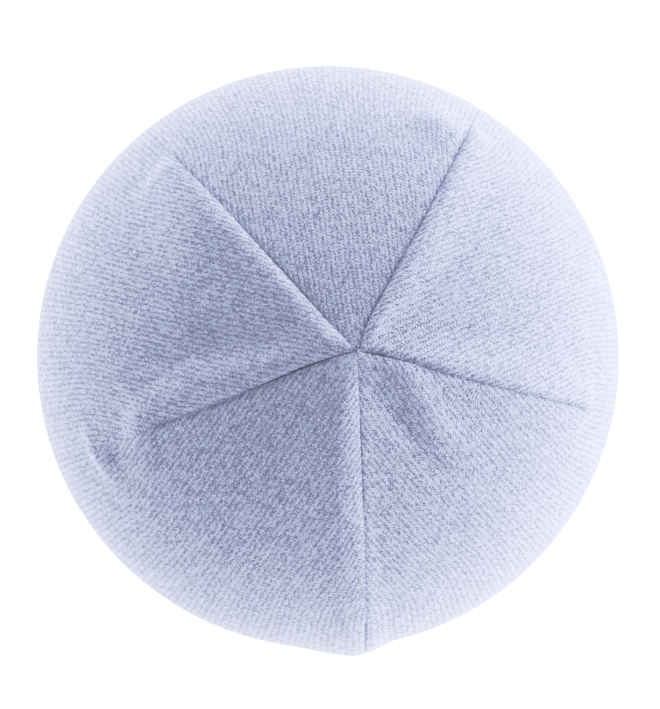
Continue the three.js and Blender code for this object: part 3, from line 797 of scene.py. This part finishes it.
KNIT = knit_material()
for lobe_index in range(len(LOBES)):
    make_lobe(lobe_index, KNIT)
THREAD = strip_material()
for seam_index in range(len(SEAMS)):
    make_strip(seam_index, THREAD)

# The floor, which glows so that it shows white under the hat
WHITE = (1.0, 1.0, 1.0, 1.0)
FLOOR_SIZE = 6.0
FLOOR_FINISH = {
    "Base Color": (0.85, 0.85, 0.85, 1.0),
    "Roughness": 1.0,
    "Emission Color": WHITE,
    "Emission Strength": 2.0,
}


def make_floor():
    bpy.ops.mesh.primitive_plane_add(size=FLOOR_SIZE, location=(0.0, 0.0, 0.0))
    floor = bpy.context.object
    floor.name = "floor"
    material, graph, shader = new_material("floor")
    graph.feed(shader, FLOOR_FINISH)
    floor.data.materials.append(material)


make_floor()

# The camera looks straight down from where the hat's outline lies as in the photo
PHOTO_SIZE = (660, 709)  # pixels
PHOTO_OUTLINE = {"x": 328.0, "y": 357.0, "radius": 291.0}  # the hat's round outline there, in pixels
CAMERA_HEIGHT = 1.3
SENSOR = 36.0


def make_camera():
    pixel = BODY_RADIUS * MM / PHOTO_OUTLINE["radius"]
    distance = CAMERA_HEIGHT - WIDEST_HEIGHT * MM
    data = bpy.data.cameras.new("camera")
    data.sensor_fit = "VERTICAL"
    data.sensor_height = SENSOR
    data.lens = SENSOR * distance / (PHOTO_SIZE[1] * pixel)
    camera = bpy.data.objects.new("camera", data)
    x = AXIS[0] * MM + (PHOTO_SIZE[0] / 2 - PHOTO_OUTLINE["x"]) * pixel
    y = AXIS[1] * MM - (PHOTO_SIZE[1] / 2 - PHOTO_OUTLINE["y"]) * pixel
    camera.location = (x, y, CAMERA_HEIGHT)
    bpy.context.scene.collection.objects.link(camera)
    bpy.context.scene.camera = camera


make_camera()

# Strength of the light tent's walls on each side
TENT_EAST = 9.4
TENT_WEST = 4.3
TENT_NORTH = 3.7
TENT_SOUTH = 2.0
TENT_TOP = (0.38, 0.66)  # sines of the angles above the horizon between which the walls grow dark
TENT_FOCUS = 4.0  # power with which a wall fades towards its neighbours


def make_world():
    """A light tent: bright walls to about a third of the way up, brightest on one side, and a dark top."""
    world = bpy.data.worlds.new("studio")
    bpy.context.scene.world = world
    world.use_nodes = True
    graph = NodeGraph(world.node_tree)
    east, north, up = graph.split(graph.add("ShaderNodeTexCoord"))
    heights = {"Value": up, "From Min": TENT_TOP[0], "From Max": TENT_TOP[1], "To Min": 1.0, "To Max": 0.0}
    level = graph.add("ShaderNodeMapRange", heights, interpolation_type="SMOOTHSTEP")
    walls = 0.0
    for axis, sign, light in ((east, 1.0, TENT_EAST), (east, -1.0, TENT_WEST),
                              (north, 1.0, TENT_NORTH), (north, -1.0, TENT_SOUTH)):
        facing = graph.math("MAXIMUM", graph.math("MULTIPLY", axis, sign), 0.0)
        walls = graph.math("MULTIPLY_ADD", graph.math("POWER", facing, TENT_FOCUS), light, walls)
    strength = graph.math("MULTIPLY", level, walls)
    graph.feed(world.node_tree.nodes["Background"], {"Color": WHITE, "Strength": strength})


make_world()

# The camera's response: scene light and what it is shown as, softening the highlights
RESPONSE = [
    (0.00, 0.000),
    (0.28, 0.284),
    (0.46, 0.532),
    (0.62, 0.660),
    (0.78, 0.753),
    (0.94, 0.815),
    (1.15, 0.865),
    (1.35, 0.930),
    (1.70, 0.985),
    (2.00, 1.000),
]
# Its blue light, a little raised where it is bright, which keeps more of the cloth's colour there
BLUE_RESPONSE = [
    (0.30, 0.304),
    (0.45, 0.452),
    (0.56, 0.575),
    (0.66, 0.710),
    (0.79, 0.880),
    (0.96, 1.100),
    (1.16, 1.340),
    (1.40, 1.520),
    (1.70, 1.750),
]
BLUE_CURVE = 2  # places of the curves in the view's mapping
COMMON_CURVE = 3


def set_response():
    settings = bpy.context.scene.view_settings
    settings.view_transform = "Standard"
    settings.use_curve_mapping = True
    white = RESPONSE[-1][0]
    mapping = settings.curve_mapping
    mapping.white_level = (white, white, white)
    for light, shown in RESPONSE[1:-1]:
        mapping.curves[COMMON_CURVE].points.new(light / white, shown)
    for light, bluer in BLUE_RESPONSE:
        mapping.curves[BLUE_CURVE].points.new(light / white, bluer / white)
    mapping.update()


set_response()
